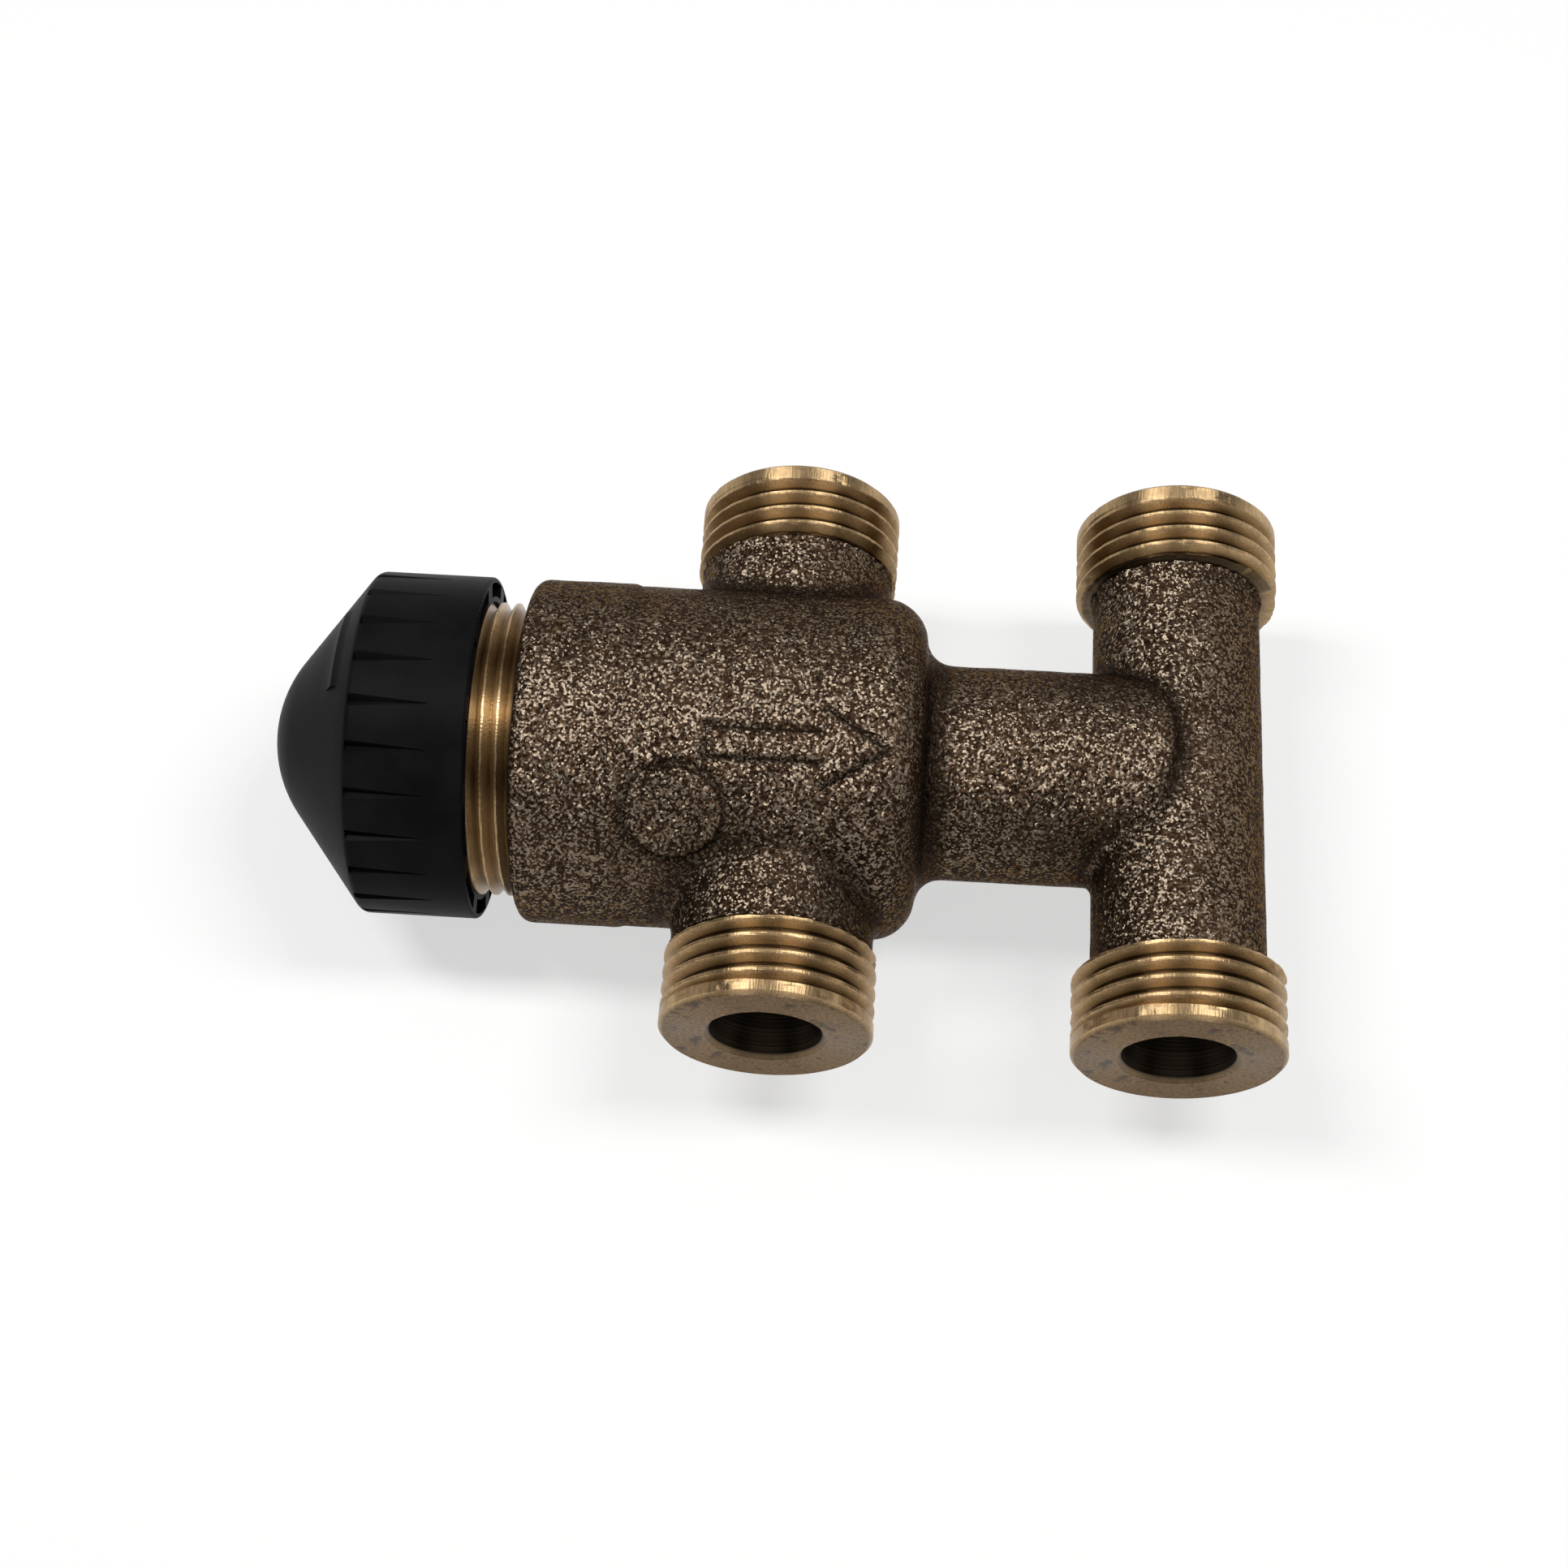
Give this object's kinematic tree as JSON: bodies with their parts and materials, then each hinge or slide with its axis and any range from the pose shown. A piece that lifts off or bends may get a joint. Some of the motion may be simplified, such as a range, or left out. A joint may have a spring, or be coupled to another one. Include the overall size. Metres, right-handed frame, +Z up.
{
  "type": "globe control valve",
  "caption": "Small cast globe control valve with a fluted hand cap on a threaded neck, threaded ports on the barrel and a bypass tee at the end of its neck.",
  "frame": {"origin": "where the spindle axis crosses the common axis of the barrel's two ports", "axes": "+X along the spindle from the hand cap to the bypass tee, -Y out of the barrel's near port, +Z up with the valve lying on its barrel"},
  "size_m": [0.1025, 0.06, 0.0354],
  "materials": {
    "cast_bronze": "shot-blasted casting, brown with bright sparkles",
    "turned_brass": "bright turned brass",
    "stainless_steel": "ground and drawn stainless steel",
    "seal_rubber": "matt black rubber",
    "white_plastic": "smooth white low-friction plastic",
    "black_plastic": "satin black moulding"
  },
  "bodies": {
    "casting": {"valve_body": "cast_bronze", "upper_seat_ring": "turned_brass", "lower_seat_ring": "turned_brass", "bonnet": "turned_brass", "bonnet_o_ring": "seal_rubber", "gland_nut": "turned_brass", "gland_o_ring_outer": "seal_rubber", "gland_o_ring_inner": "seal_rubber", "gland_backing_ring": "white_plastic", "spring_base": "turned_brass", "spring_base_clip": "stainless_steel", "return_spring": "stainless_steel"},
    "spindle": {"stem": "stainless_steel", "stem_clip": "stainless_steel", "spring_cup": "turned_brass", "plug": "turned_brass", "upper_plug_seal": "seal_rubber", "lower_plug_seal": "seal_rubber", "plug_nut": "turned_brass"},
    "cap": {"hand_cap": "black_plastic"}
  },
  "joints": [
    {"name": "spindle_slide", "type": "slide", "parent": "casting", "child": "spindle", "axis": [1, 0, 0], "range_m": [0, 0.0025], "deforming": ["return_spring"]},
    {"name": "cap_turn", "type": "hinge", "parent": "spindle", "child": "cap", "pos_m": [-0.04, 0, 0], "axis": [1, 0, 0], "range_deg": [0, 600]}
  ],
  "couplings": [
    {"joint": "cap_turn", "follows": "spindle_slide", "rad_per_m": 4188.8}
  ]
}
